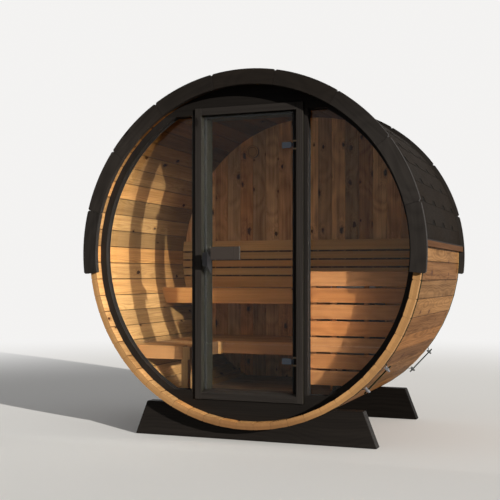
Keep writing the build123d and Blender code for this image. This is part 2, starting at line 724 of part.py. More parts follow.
def upper_bench():
    seat = slats(HIGH_FRONT_Y + APRON_T + FIT, BACK_Y - FIT, -WIDE, WIDE, HIGH_SEAT_Z)
    save("upper_bench_seat", [s for board in seat for s in solids_of(board)])
    apron = block(-WIDE, WIDE, HIGH_FRONT_Y, HIGH_FRONT_Y + APRON_T, HIGH_SEAT_Z - HIGH_APRON_H, HIGH_SEAT_Z)
    save("upper_bench_apron", solids_of(clip(apron)))
    save("upper_bench_bearers", bearers(HIGH_BEARER_INSET, HIGH_FRONT_Y, HIGH_SEAT_Z - SEAT_T - FIT))


def backrest():
    """Level boards on three upright battens."""
    batten_y = BACK_Y - FIT - REST_BATTEN_T
    y1 = batten_y - FIT
    boards = []
    z = REST_TOP_Z
    for height in REST_HEIGHTS:
        board = clip(block(-WIDE, WIDE, y1 - REST_T, y1, z - height, z), REST_END_GAP)
        boards += solids_of(board)
        z -= height + REST_GAP
    reach = STAVE_IN_R - REST_BATTEN_INSET
    half = BEARER_W / 2
    battens = [block(x - half, x + half, batten_y, BACK_Y - FIT, HIGH_SEAT_Z + FIT,
                     REST_TOP_Z - REST_BATTEN_DROP) for x in (-reach, 0, reach)]
    save("backrest", boards + battens)


# Heater and its guard
def heater_guard():
    front = []
    side = []
    behind = GUARD_Y + GUARD_T + FIT
    for i in range(GUARD_SLATS):
        z0 = GUARD_LOW_Z + i * GUARD_PITCH
        z1 = z0 + GUARD_PITCH - GUARD_SLAT_GAP
        front += solids_of(clip(block(GUARD_X, WIDE, GUARD_Y, GUARD_Y + GUARD_T, z0, z1)))
        side.append(block(GUARD_X, GUARD_X + GUARD_T, behind, GUARD_BACK_Y, z0, z1))
    save("heater_guard_front_slats", front)
    save("heater_guard_side_slats", side)
    half = GUARD_BATTEN_W / 2
    posts = []
    for x in GUARD_BATTENS:
        mid = GUARD_X + x
        posts.append(clip(block(mid - half, mid + half, behind, behind + GUARD_POST, GUARD_LOW_Z, GUARD_TOP_Z)))
    x0 = GUARD_X + GUARD_T + FIT
    x1 = x0 + GUARD_POST
    posts.append(block(x0, x1, behind, behind + GUARD_POST, GUARD_LOW_Z, GUARD_TOP_Z))
    posts.append(clip(block(x0, x1, GUARD_BACK_Y - GUARD_POST, GUARD_BACK_Y, FLOOR_Z + FIT, GUARD_TOP_Z)))
    save("heater_guard_posts", [s for post in posts for s in solids_of(post)])


def heater():
    """Open box of sheet steel on four legs, and the heap of stones in it."""
    x1 = HEATER_X + HEATER_W
    y1 = HEATER_Y + HEATER_D
    low = HEATER_TOP_Z - HEATER_H
    bowl_z = HEATER_TOP_Z - HEATER_BOWL
    sheet = HEATER_SHEET
    shell = block(HEATER_X, x1, HEATER_Y, y1, low, HEATER_TOP_Z)
    bowl = block(HEATER_X + sheet, x1 - sheet, HEATER_Y + sheet, y1 - sheet, bowl_z, HEATER_TOP_Z + 1)
    shell = shell - bowl
    inset = HEATER_LEG_INSET
    far = inset + HEATER_LEG
    for x in (HEATER_X + inset, x1 - far):
        for y in (HEATER_Y + inset, y1 - far):
            shell = shell + block(x, x + HEATER_LEG, y, y + HEATER_LEG, FLOOR_Z + FIT, low)
    save("heater_body", solids_of(clip(shell)))
    side = sheet + STONES_GAP
    save("heater_stones", [block(HEATER_X + side, x1 - side, HEATER_Y + side, y1 - side, bowl_z + FIT,
                                 HEATER_TOP_Z + STONES_RISE)])


stave_groups()
trim_arch("front", False)
trim_arch("rear", True)
hoop("front_hoop", HOOP_INSET)
hoop("rear_hoop", REAR_HOOP_Y)
roof()
cradle("front_cradle", CRADLE_FRONT)
cradle("rear_cradle", REAR_CRADLE_Y)
front_wall()
window_panes()
door_frame()
door_seals()
door_leaf()
lock_and_handle()
back_wall()
vent()
floor()
lower_bench()
upper_bench()
backrest()
heater_guard()
heater()
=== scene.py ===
import math
import random

import bmesh
import bpy
from mathutils import Matrix, Vector


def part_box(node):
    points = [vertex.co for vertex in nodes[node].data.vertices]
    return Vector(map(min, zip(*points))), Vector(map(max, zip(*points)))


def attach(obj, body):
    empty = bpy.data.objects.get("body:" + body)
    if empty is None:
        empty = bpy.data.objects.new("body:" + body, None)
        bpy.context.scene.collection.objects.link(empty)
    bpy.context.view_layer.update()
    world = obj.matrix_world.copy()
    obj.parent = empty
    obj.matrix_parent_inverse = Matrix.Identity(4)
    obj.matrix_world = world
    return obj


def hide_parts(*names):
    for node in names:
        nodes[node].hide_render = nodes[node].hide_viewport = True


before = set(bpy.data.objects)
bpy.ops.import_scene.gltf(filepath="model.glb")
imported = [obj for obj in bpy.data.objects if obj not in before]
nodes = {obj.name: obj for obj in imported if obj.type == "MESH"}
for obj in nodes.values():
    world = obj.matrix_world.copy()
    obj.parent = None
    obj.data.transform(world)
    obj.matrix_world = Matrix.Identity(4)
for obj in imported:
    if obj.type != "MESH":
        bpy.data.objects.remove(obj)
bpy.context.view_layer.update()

# Metres and degrees. The barrel lies along Y and its front faces -Y.
AXIS_Z = 1.105
FRONT = -0.678
LENGTH = 1.356
STAVES = 60
STAVE_MID_R = 1.005
TRIM_START = -6.75
TRIM_STEP = 21.5
TRIM_MID_R = 1.0125

# Rows of boards: width of a board with its gap, and where the first one starts
BACK_ROW = (0.0985, -0.04925)
FLOOR_ROW = (0.0936, -0.4967)
LOW_SEAT_ROW = (0.0955, -0.4927)
HIGH_SEAT_ROW = (0.104, 0.2195)
GUARD_ROW = (0.0965, 0.3252)
BACKREST_JOINTS = (0.973, 1.032, 1.088, 1.147)
ARM_SIDES = (-0.4605, -0.4325)
LOW_BEARERS_FROM = FRONT + 0.7175
BACK_BATTENS_FROM = FRONT + 1.2845
REAR_END = 2.0

VENT_X, VENT_Z = -0.442, 1.869
ROD_ANGLE = -42.8

# Soft steps: the value where each starts, and the one where it is complete.
# Depth in a wall board, from its middle outwards
OUTER_HALF = (-0.004, 0.004)
INNER_HALF = (0.004, -0.004)
OUTER_FACE = (0.012, 0.018)
# Distance from the edge of a board, and from the middle of a joint
JOINT_LINE = (0.0042, 0.0012)
SLAT_EDGE = (0.0068, 0.0050)
# Along Y, and the distance from the middle of the barrel towards either end
# Painted shade deep inside the barrel
DEEP_INSIDE = (0.00, 0.40)
END_STRIP = (0.6340, 0.6370)
# Height
# Painted shade near the ceiling
NEAR_CEILING = (1.35, 1.90)
# Painted shade on the sawn ends high up
END_SHADE_HIGH = (1.60, 1.95)
TRIM_TOP = (1.75, 2.05)
# Painted shade on the outer faces low down
OUTER_SHADE_LOW = (0.75, 0.35)
# Painted shade on the sawn ends near the foot
END_SHADE_LOW = (0.24, 0.10)
BATTEN_TOP = (1.163, 1.166)
BACKREST_FOOT = (0.895, 0.905)
BACKREST_HEAD = (1.222, 1.216)
HEATER_RIM = (0.884, 0.886)
# Distance from the barrel's axis, from the vent's middle and from the middle of the floor
TRIM_EDGE = (1.0525, 1.0545)
HOOP_OUTSIDE = (1.0305, 1.0325)
VENT_RIM = (0.0435, 0.0450)
FAR_FLOOR = (3.0, 9.0)

# Strips: where each starts and ends, and how soft its ends are
# Painted shadow beside the front hoop
FRONT_HOOP_SHADOW = (-0.6370, -0.6110, 0.0035)
VENT_GROOVE = (0.0305, 0.0350, 0.0015)
LUGS = (0.0735, 0.0935, 0.001)
HEATER_STRIP = (0.497, 0.523, 0.002)


# Shader helpers
class Tree:
    """Adds shader nodes and joins them. A value is a socket or a constant."""

    def __init__(self, tree):
        self.tree = tree

    def node(self, kind, **settings):
        made = self.tree.nodes.new(kind)
        for key, value in settings.items():
            setattr(made, key, value)
        return made

    def feed(self, socket, value):
        if isinstance(value, bpy.types.NodeSocket):
            self.tree.links.new(value, socket)
        else:
            socket.default_value = value

    def math(self, operation, *values, clamp=False):
        made = self.node("ShaderNodeMath", operation=operation, use_clamp=clamp)
        for socket, value in zip(made.inputs, values):
            self.feed(socket, value)
        return made.outputs[0]

    def mix(self, factor, a, b, blend="MIX"):
        made = self.node("ShaderNodeMix", data_type="RGBA", blend_type=blend)
        for index, value in ((0, factor), (6, a), (7, b)):
            if index and isinstance(value, tuple):
                value = (*value[:3], 1.0)
            self.feed(made.inputs[index], value)
        return made.outputs[2]

    def span(self, value, low, high, to_low=0.0, to_high=1.0):
        """Smooth step of a value from low to high."""
        made = self.node("ShaderNodeMapRange", interpolation_type="SMOOTHSTEP")
        for socket, v in zip(made.inputs, (value, low, high, to_low, to_high)):
            self.feed(socket, v)
        return made.outputs[0]

    def between(self, value, low, high, soft):
        """1 from low to high, with soft edges inside them."""
        return self.math("MULTIPLY", self.span(value, low, low + soft), self.span(value, high, high - soft))

    def vector(self, x, y, z):
        made = self.node("ShaderNodeCombineXYZ")
        for socket, value in zip(made.inputs, (x, y, z)):
            self.feed(socket, value)
        return made.outputs[0]

    def tint(self, share, colour, by):
        """Multiply a colour by another to the given share."""
        return self.mix(share, colour, self.mix(1.0, colour, by, "MULTIPLY"))

    def blend(self, out, factor, first, second):
        """Feed a mix of two shaders to a material's output."""
        made = self.node("ShaderNodeMixShader")
        for socket, value in zip(made.inputs, (factor, first, second)):
            self.feed(socket, value)
        self.feed(out.inputs["Surface"], made.outputs[0])

    def scale(self, colour, level):
        """Multiply a colour by a number."""
        return self.mix(1.0, colour, self.vector(level, level, level), "MULTIPLY")

    def parts(self, vector):
        made = self.node("ShaderNodeSeparateXYZ")
        self.feed(made.inputs[0], vector)
        return made.outputs[0], made.outputs[1], made.outputs[2]

    def noise(self, vector, scale, detail=2.0, rough=0.5):
        made = self.node("ShaderNodeTexNoise")
        self.feed(made.inputs["Vector"], vector)
        made.inputs["Scale"].default_value = scale
        made.inputs["Detail"].default_value = detail
        made.inputs["Roughness"].default_value = rough
        return made.outputs[0]

    def random(self, *values):
        """Four random numbers from 0 to 1 that depend on up to three values."""
        made = self.node("ShaderNodeTexWhiteNoise", noise_dimensions="3D")
        filled = list(values) + [0.0] * (3 - len(values))
        self.feed(made.inputs["Vector"], self.vector(*filled))
        return (made.outputs[0], *self.parts(made.outputs[1]))

    def here(self):
        """Position in the row frame at rest."""
        return self.node("ShaderNodeTexCoord").outputs["Object"]

    def place(self):
        return self.parts(self.here())

    def length(self, a, b):
        """Length of a flat vector."""
        return self.math("SQRT", self.math("ADD", self.math("MULTIPLY", a, a), self.math("MULTIPLY", b, b)))

    def polar(self, x, z):
        """Angle in radians from +X towards +Z, and distance from the barrel's axis."""
        up = self.math("SUBTRACT", z, AXIS_Z)
        return self.math("ARCTAN2", up, x), self.length(x, up)


GRAIN_IN = ("U", "V", "W", "Board", "Knots")
GRAIN_OUT = ("Tone", "Knot", "Pick", "Pick 2", "Height")
KNOT_CELL_U, KNOT_CELL_V = 0.30, 0.11
KNOT_MIN_R, KNOT_MORE_R = 0.0035, 0.010
KNOT_STRETCH = 0.55
RING_STEP = 0.0052


def make_grain():
    """Node group with the growth rings, streaks and knots of one board."""
    group = bpy.data.node_groups.new("board_grain", "ShaderNodeTree")
    for names, side in ((GRAIN_IN, "INPUT"), (GRAIN_OUT, "OUTPUT")):
        for name in names:
            group.interface.new_socket(name=name, in_out=side, socket_type="NodeSocketFloat")
    t = Tree(group)
    given = t.node("NodeGroupInput").outputs
    u, v, w, board, knots = (given[n] for n in GRAIN_IN)
    pick, pith_v, pith_w, pick_2 = t.random(board, 3.7)
    along = t.math("MULTIPLY_ADD", pick, 41.0, u)

    # At most one knot in each cell
    cu = t.math("DIVIDE", along, KNOT_CELL_U)
    cv = t.math("DIVIDE", t.math("MULTIPLY_ADD", board, 0.37, v), KNOT_CELL_V)
    iu, iv = t.math("FLOOR", cu), t.math("FLOOR", cv)
    here, ku, kv, size = t.random(iu, iv, board)
    ku = t.math("MULTIPLY_ADD", ku, 0.5, 0.25)
    kv = t.math("MULTIPLY_ADD", kv, 0.5, 0.25)
    du = t.math("MULTIPLY", t.math("SUBTRACT", t.math("SUBTRACT", cu, iu), ku), KNOT_CELL_U * KNOT_STRETCH)
    dv = t.math("MULTIPLY", t.math("SUBTRACT", t.math("SUBTRACT", cv, iv), kv), KNOT_CELL_V)
    far = t.length(du, dv)
    wobble = t.noise(t.vector(u, v, w), 90.0, 1.0)
    far = t.math("MULTIPLY", far, t.math("MULTIPLY_ADD", wobble, 1.5, 0.25))
    radius = t.math("MULTIPLY_ADD", size, KNOT_MORE_R, KNOT_MIN_R)
    ratio = t.math("DIVIDE", far, radius)
    there = t.math("LESS_THAN", here, knots)
    knot = t.math("MULTIPLY", t.span(ratio, 1.15, 0.8), there)
    swell = t.math("EXPONENT", t.math("MULTIPLY", t.math("MULTIPLY", ratio, ratio), -0.16))
    swell = t.math("MULTIPLY", t.math("MULTIPLY", swell, there), radius)

    # Growth rings round a pith beside the board, bent round the knots
    drift = t.noise(t.vector(t.math("MULTIPLY", along, 1.6), board, 0.0), 1.0, 2.0)
    dv = t.math("ADD", t.math("SUBTRACT", v, t.math("MULTIPLY_ADD", pith_v, 0.12, -0.06)),
                t.math("MULTIPLY_ADD", drift, 0.05, -0.025))
    dw = t.math("ADD", t.math("MULTIPLY_ADD", pith_w, 0.07, 0.02), w)
    dw = t.math("MULTIPLY_ADD", drift, 0.06, dw)
    ring = t.math("ADD", t.length(dv, dw), swell)
    fine = t.noise(t.vector(t.math("MULTIPLY", along, 7.0), t.math("MULTIPLY", v, 60.0), w), 1.0, 3.0)
    ring = t.math("MULTIPLY_ADD", fine, 0.0022, ring)
    wave = t.math("SINE", t.math("MULTIPLY", ring, 2 * math.pi / RING_STEP))
    wave = t.math("POWER", t.math("MULTIPLY_ADD", wave, 0.5, 0.5), 0.7)

    streak = t.noise(t.vector(t.math("MULTIPLY", along, 2.2), t.math("MULTIPLY", v, 70.0),
                              t.math("MULTIPLY_ADD", w, 50.0, board)), 1.0, 3.0, 0.6)
    broad = t.noise(t.vector(t.math("MULTIPLY", along, 1.1), t.math("MULTIPLY", v, 22.0), board), 1.0, 2.0)
    tone = t.math("MULTIPLY_ADD", wave, 0.34, 0.0)
    tone = t.math("MULTIPLY_ADD", t.span(streak, 0.30, 0.70), 0.40, tone)
    tone = t.math("MULTIPLY_ADD", t.span(broad, 0.30, 0.70), 0.26, tone)
    halo = t.math("MULTIPLY", t.span(ratio, 2.6, 1.0), there)
    tone = t.math("SUBTRACT", tone, t.math("MULTIPLY", halo, 0.25), clamp=True)
    height = t.math("MULTIPLY_ADD", wave, 0.5, t.math("MULTIPLY", streak, 0.5))
    height = t.math("MULTIPLY_ADD", knot, -0.6, height)
    out = t.node("NodeGroupOutput").inputs
    for name, value in zip(GRAIN_OUT, (tone, knot, pick, pick_2, height)):
        t.feed(out[name], value)
    return group


GRAIN = make_grain()


def new_material(name):
    made = bpy.data.materials.new(name)
    made.use_nodes = True
    made.node_tree.nodes.clear()
    t = Tree(made.node_tree)
    shader = t.node("ShaderNodeBsdfPrincipled")
    out = t.node("ShaderNodeOutputMaterial")
    t.feed(out.inputs["Surface"], shader.outputs[0])
    return made, t, shader, out


def bump(t, shader, height, distance, strength=1.0):
    made = t.node("ShaderNodeBump")
    made.inputs["Strength"].default_value = strength
    made.inputs["Distance"].default_value = distance
    t.feed(made.inputs["Height"], height)
    t.feed(shader.inputs["Normal"], made.outputs[0])


# Board layouts: each gives the place along a board, across it, in its depth, and the board's number
def stave_layout(t):
    x, y, z = t.place()
    angle, r = t.polar(x, z)
    step = 2 * math.pi / STAVES
    k = t.math("ADD", t.math("DIVIDE", angle, step), 0.5)
    number = t.math("FLOOR", k)
    off = t.math("MULTIPLY", t.math("SUBTRACT", t.math("SUBTRACT", k, number), 0.5), step)
    across = t.math("MULTIPLY", r, t.math("SINE", off))
    deep = t.math("SUBTRACT", t.math("MULTIPLY", r, t.math("COSINE", off)), STAVE_MID_R)
    return y, across, deep, t.math("FLOORED_MODULO", number, float(STAVES))


def trim_layout(t):
    x, y, z = t.place()
    angle, r = t.polar(x, z)
    turned = t.math("FLOORED_MODULO", t.math("ADD", angle, math.pi / 2), 2 * math.pi)
    turned = t.math("SUBTRACT", turned, math.pi / 2)
    step = math.radians(TRIM_STEP)
    k = t.math("DIVIDE", t.math("SUBTRACT", turned, math.radians(TRIM_START)), step)
    number = t.math("FLOOR", k)
    off = t.math("MULTIPLY", t.math("SUBTRACT", t.math("SUBTRACT", k, number), 0.5), step)
    along = t.math("MULTIPLY", r, t.math("SINE", off))
    across = t.math("SUBTRACT", t.math("MULTIPLY", r, t.math("COSINE", off)), TRIM_MID_R)
    rear = t.math("GREATER_THAN", y, 0.0)
    return along, across, y, t.math("MULTIPLY_ADD", rear, 20.0, number)


def row_layout(order, pitch=None, start=0.0, seed=0.0, joints=()):
    """Boards along one axis, of one width or parted at joints. order names the axes along, across and
    through a board."""

    def layout(t):
        axes = dict(zip("xyz", t.place()))
        along, across, deep = (axes[c] for c in order)
        number = seed
        if pitch:
            k = t.math("DIVIDE", t.math("SUBTRACT", across, start), pitch)
            row = t.math("FLOOR", k)
            across = t.math("MULTIPLY", t.math("SUBTRACT", t.math("SUBTRACT", k, row), 0.5), pitch)
            number = t.math("ADD", row, seed)
        for joint in joints:
            number = t.math("ADD", number, t.math("GREATER_THAN", across, joint))
        return along, across, deep, number

    return layout


def split_layout(axis, low, high, inside, outside):
    """One layout where an axis is between two values, and another elsewhere."""

    def layout(t):
        value = dict(zip("xyz", t.place()))[axis]
        share = t.math("MULTIPLY", t.math("GREATER_THAN", value, low), t.math("LESS_THAN", value, high))
        rows = []
        for a, b in zip(outside(t), inside(t)):
            made = t.node("ShaderNodeMix", data_type="FLOAT")
            for index, v in ((0, share), (2, a), (3, b)):
                t.feed(made.inputs[index], v)
            rows.append(made.outputs[0])
        return tuple(rows)

    return layout


def wood(name, layout, light, dark, knot=(0.07, 0.025, 0.012), spread=0.35, knots=0.5, rough=0.55,
         relief=0.0006, second=None, tint=(1.0, 0.86, 0.72), finish=None, gloss=0.12):
    """Board material. spread is the difference from board to board, knots the share of cells with a knot,
    second another pair of colours for the outer face of the round wall."""
    made, t, shader, _ = new_material(name)
    along, across, deep, number = layout(t)
    grain = t.node("ShaderNodeGroup", node_tree=GRAIN)
    for socket, value in zip(GRAIN_IN, (along, across, deep, number, knots)):
        t.feed(grain.inputs[socket], value)
    tone, knot_mask, pick, pick_2, height = (grain.outputs[n] for n in GRAIN_OUT)
    colour = t.mix(tone, dark, light)
    if second:
        colour = t.mix(t.span(deep, *OUTER_HALF), colour, t.mix(tone, second[1], second[0]))
    level = t.math("MULTIPLY_ADD", pick, spread * 2, 1.0 - spread)
    colour = t.tint(t.span(pick_2, 0.35, 1.0), t.scale(colour, level), tint)
    colour = t.mix(knot_mask, colour, knot)
    if finish:
        colour = finish(t, colour)
    t.feed(shader.inputs["Base Color"], colour)
    t.feed(shader.inputs["Roughness"], t.math("MULTIPLY_ADD", tone, -0.12, rough + 0.06))
    shader.inputs["Specular IOR Level"].default_value = gloss
    bump(t, shader, height, relief)
    return made


def dress(names, made):
    """Put a material in every slot of the named CAD nodes."""
    for name in names:
        mesh = nodes[name].data
        mesh.materials.clear()
        mesh.materials.append(made)


def soften(names, width):
    """Round the edges of CAD boards."""
    for name in names:
        weld = nodes[name].modifiers.new("weld", "WELD")
        weld.merge_threshold = 0.00002
        rounded = nodes[name].modifiers.new("round", "BEVEL")
        rounded.width = width
        rounded.segments = 2
        rounded.limit_method = "ANGLE"
        rounded.angle_limit = math.radians(40)
        rounded.harden_normals = True


def facing(t, axis, sign):
    """1 on faces that look along an axis, or against it with a sign below 0."""
    normal = t.parts(t.node("ShaderNodeNewGeometry").outputs["Normal"])["xyz".index(axis)]
    return t.span(t.math("MULTIPLY", normal, sign), 0.7, 0.9)


# Wood of the walls and the floor
def wall_finish(t, colour):
    """Dark joints, pale sawn ends with fine marks, and painted shade: on the inner faces high up and deep
    inside, on the outer faces low down, on the sawn ends high up and at the foot, and as a painted shadow
    beside the front hoop.
    """
    _, ny, _ = t.parts(t.node("ShaderNodeNewGeometry").outputs["Normal"])
    x, y, z = t.place()
    _, across, deep, _ = stave_layout(t)
    half = t.math("MULTIPLY", t.math("ADD", deep, STAVE_MID_R), math.tan(math.pi / STAVES))
    edge = t.math("SUBTRACT", half, t.math("ABSOLUTE", across))
    # Painted shade: inner faces darker near the ceiling and deeper inside the barrel.
    painted_shade_high_deep = t.math("MAXIMUM", t.span(z, *NEAR_CEILING), t.span(y, *DEEP_INSIDE, 0.0, 0.60))
    painted_shade_high_deep = t.math("MULTIPLY", painted_shade_high_deep, t.span(deep, *INNER_HALF))
    colour = t.tint(painted_shade_high_deep, colour, (0.24, 0.17, 0.10))
    colour = t.mix(t.span(edge, *JOINT_LINE, 0.0, 0.74), colour, (0.045, 0.019, 0.007))
    outside = t.span(deep, *OUTER_FACE)
    # Painted shadow of the front hoop on the outer faces just beside it.
    band = t.math("MULTIPLY", t.between(y, *FRONT_HOOP_SHADOW), outside)
    colour = t.mix(band, colour, (0.030, 0.026, 0.014))
    # Painted shade on the outer faces low down.
    under = t.math("MULTIPLY", t.span(z, *OUTER_SHADE_LOW), t.span(deep, *OUTER_HALF))
    colour = t.tint(under, colour, (0.74, 0.69, 0.66))
    share = t.span(t.math("ABSOLUTE", ny), 0.8, 0.95)
    strip = t.math("MULTIPLY", outside, t.span(t.math("ABSOLUTE", y), *END_STRIP))
    share = t.math("MAXIMUM", share, t.math("MULTIPLY", strip, 0.9))
    sawn = t.vector(t.math("MULTIPLY", t.math("ADD", x, z), 420.0), t.math("MULTIPLY", z, 40.0), y)
    level = t.math("MULTIPLY_ADD", t.noise(sawn, 1.0, 2.0), 0.4, 0.8)
    pale = t.scale(t.mix(0.75, colour, (0.43, 0.235, 0.095)), level)
    # Painted shade on the sawn ends under the trim at the top and near the foot.
    painted_end_shade = t.math("MAXIMUM", t.span(z, *END_SHADE_HIGH), t.math("MULTIPLY", t.span(z, *END_SHADE_LOW), 0.7))
    return t.mix(share, colour, t.tint(painted_end_shade, pale, (0.42, 0.37, 0.40)))


def batten_painted_shadow(t, colour):
    """Painted shadow along the upper edge, under the shingles."""
    return t.mix(t.span(t.place()[2], *BATTEN_TOP), colour, (0.010, 0.008, 0.006))


def behind_backrest(t, colour):
    """The inside of the wall hardly gets any light behind the boards of the backrest."""
    z = t.place()[2]
    share = t.math("MULTIPLY", t.span(z, *BACKREST_FOOT), t.span(z, *BACKREST_HEAD))
    share = t.math("MULTIPLY", share, facing(t, "y", -0.85))
    return t.mix(share, colour, (0.010, 0.006, 0.003))


dress([n for n in nodes if n.startswith("staves_")],
      wood("stave_boards", stave_layout, (0.61, 0.345, 0.140), (0.30, 0.152, 0.053),
           spread=0.34, knots=0.42, second=((0.30, 0.150, 0.050), (0.090, 0.039, 0.011)),
           finish=wall_finish, gloss=0.05))
dress(["roof_battens"],
      wood("batten_wood", row_layout("yzx", seed=90.0), (0.100, 0.044, 0.012), (0.055, 0.023, 0.006),
           spread=0.1, knots=0.0, gloss=0.03, finish=batten_painted_shadow))
dress(["back_wall"],
      wood("back_boards", row_layout("zxy", *BACK_ROW, seed=100.0), (0.88, 0.53, 0.25),
           (0.31, 0.155, 0.062), spread=0.50, knots=0.8, tint=(1.0, 0.80, 0.62), finish=behind_backrest))
dress(["floor"],
      wood("floor_boards", row_layout("xyz", *FLOOR_ROW, seed=200.0), (0.26, 0.17, 0.11),
           (0.13, 0.08, 0.05), spread=0.2, knots=0.3))

# Smooth wood of the benches and the guard
CEDAR = dict(light=(0.58, 0.32, 0.125), dark=(0.37, 0.185, 0.068), spread=0.16, knots=0.06, rough=0.5,
             relief=0.0003)
RED_CEDAR = dict(CEDAR, light=(0.60, 0.265, 0.100), dark=(0.40, 0.160, 0.058))
PALE_CEDAR = dict(CEDAR, light=(0.68, 0.375, 0.175), dark=(0.45, 0.235, 0.100))
BACKREST_CEDAR = dict(CEDAR, light=(0.72, 0.42, 0.165), dark=(0.48, 0.26, 0.092))


def seat_front_painted_shade(t, colour):
    """Painted shade on the front faces of the lower seat."""
    return t.tint(facing(t, "y", -1.0), colour, (0.42, 0.36, 0.34))


def slat_edges(t, colour):
    """Shadow in the rounded edges of the backrest's boards."""
    z = t.place()[2]
    near = 0.0
    for joint in BACKREST_JOINTS:
        off = t.math("ABSOLUTE", t.math("SUBTRACT", z, joint))
        near = t.math("MAXIMUM", near, t.span(off, *SLAT_EDGE))
    return t.mix(near, colour, (0.020, 0.010, 0.005))


def vent_grooves(t, colour):
    """Shadow lines round the dish of the vent."""
    x, _, z = t.place()
    r = t.length(t.math("SUBTRACT", x, VENT_X), t.math("SUBTRACT", z, VENT_Z))
    groove = t.between(r, *VENT_GROOVE)
    return t.mix(t.math("MAXIMUM", groove, t.span(r, *VENT_RIM)), colour, (0.030, 0.014, 0.006))


CEDAR_PIECES = (
    ("lower_bench_seat", "low_seat_boards", row_layout("xyz", *LOW_SEAT_ROW, seed=300.0),
     CEDAR, seat_front_painted_shade),
    ("lower_bench_apron", "low_apron_boards",
     split_layout("x", *ARM_SIDES, row_layout("yzx", seed=321.0), row_layout("xzy", seed=320.0)),
     PALE_CEDAR, None),
    ("lower_bench_frame", "low_frame_wood",
     split_layout("y", LOW_BEARERS_FROM, REAR_END, row_layout("yzx", seed=331.0),
                  row_layout("zxy", seed=330.0)), CEDAR, None),
    ("upper_bench_seat", "high_seat_boards", row_layout("xyz", *HIGH_SEAT_ROW, seed=340.0), CEDAR, None),
    ("upper_bench_apron", "high_apron_board", row_layout("xzy", seed=350.0), CEDAR, None),
    ("upper_bench_bearers", "high_bearer_wood", row_layout("yzx", seed=351.0), CEDAR, None),
    ("back_wall_vent", "vent_wood", row_layout("zxy", seed=110.0), CEDAR, vent_grooves),
    ("backrest", "backrest_boards",
     split_layout("y", BACK_BATTENS_FROM, REAR_END, row_layout("zxy", seed=361.0),
                  row_layout("xzy", seed=362.0, joints=BACKREST_JOINTS)), BACKREST_CEDAR, slat_edges),
    ("heater_guard_front_slats", "guard_front_boards", row_layout("xzy", *GUARD_ROW, seed=370.0),
     RED_CEDAR, None),
    ("heater_guard_side_slats", "guard_side_boards", row_layout("yzx", *GUARD_ROW, seed=380.0),
     RED_CEDAR, None),
    ("heater_guard_posts", "guard_post_wood", row_layout("zxy", seed=390.0), RED_CEDAR, None),
)
for node, name, layout, cedar, finish in CEDAR_PIECES:
    dress([node], wood(name, layout, finish=finish, **cedar))
soften(["lower_bench_seat", "lower_bench_apron", "upper_bench_seat", "upper_bench_apron", "backrest",
        "heater_guard_front_slats", "heater_guard_side_slats"], 0.003)

# Dark stained wood
DARK = dict(light=(0.030, 0.026, 0.023), dark=(0.016, 0.0135, 0.012), knot=(0.010, 0.008, 0.007),
            spread=0.12, knots=0.12, rough=0.55, relief=0.0005, tint=(1.0, 0.95, 0.9))


def stained(share):
    """The dark stain with its colours scaled."""
    return dict(DARK, **{key: tuple(share * c for c in DARK[key]) for key in ("light", "dark")})


def trim_edge_shade_and_dark_top(t, colour):
    """Painted shade on the outer edges of the trim boards, and the trim darker towards its top."""
    x, _, z = t.place()
    _, r = t.polar(x, z)
    edge_shade_and_dark_top = t.math("MAXIMUM", t.span(r, *TRIM_EDGE), t.math("MULTIPLY", t.span(z, *TRIM_TOP), 0.8))
    return t.tint(edge_shade_and_dark_top, colour, (0.50, 0.45, 0.40))


def frame_face_painted_shade(t, colour):
    """Painted shade on the faces that look along +X and on those that look down, such as the left jamb's
    face towards the door opening.
    """
    inner = t.math("MAXIMUM", facing(t, "x", 1.0), facing(t, "z", -1.0))
    return t.tint(inner, colour, (0.55, 0.57, 0.42))


dress(["front_trim_arch", "rear_trim_arch"], wood("trim_boards", trim_layout, finish=trim_edge_shade_and_dark_top, **DARK))
dress(["front_cradle"], wood("cradle_timber", row_layout("xzy", seed=410.0), **stained(0.6)))
# Painted shade: the rear cradle takes a darker copy of the stain than the front one.
dress(["rear_cradle"], wood("shaded_timber", row_layout("xzy", seed=411.0), gloss=0.03, **stained(0.3)))
dress(["front_wall_header", "front_wall_lower_panel"],
      wood("front_panel_wood", row_layout("xzy", seed=420.0), **stained(0.5)))
dress(["front_wall_left_arc", "front_wall_right_arc"],
      wood("front_arc_wood", row_layout("zxy", seed=421.0), **stained(0.7)))
dress(["door_jamb_left", "door_jamb_right"],
      wood("jamb_timber", row_layout("zxy", seed=430.0), finish=frame_face_painted_shade, **DARK))
dress(["door_head", "door_sill"],
      wood("rail_timber", row_layout("xzy", seed=440.0), finish=frame_face_painted_shade, **DARK))
soften(["front_cradle", "rear_cradle"], 0.004)
soften(["door_jamb_left", "door_jamb_right", "door_head", "door_sill"], 0.0018)


# Metal, rubber and glass
def plain(name, colour, rough, metal=0.0, speck=0.15, scale=60.0, relief=0.0):
    """Material with fine mottling in its colour and gloss."""
    made, t, shader, _ = new_material(name)
    mottle = t.noise(t.here(), scale, 4.0, 0.6)
    level = t.math("MULTIPLY_ADD", mottle, 2 * speck, 1.0 - speck)
    t.feed(shader.inputs["Base Color"], t.scale(colour, level))
    t.feed(shader.inputs["Roughness"], t.math("MULTIPLY_ADD", mottle, 0.2, rough - 0.1))
    shader.inputs["Metallic"].default_value = metal
    if relief:
        bump(t, shader, mottle, relief)
    return made


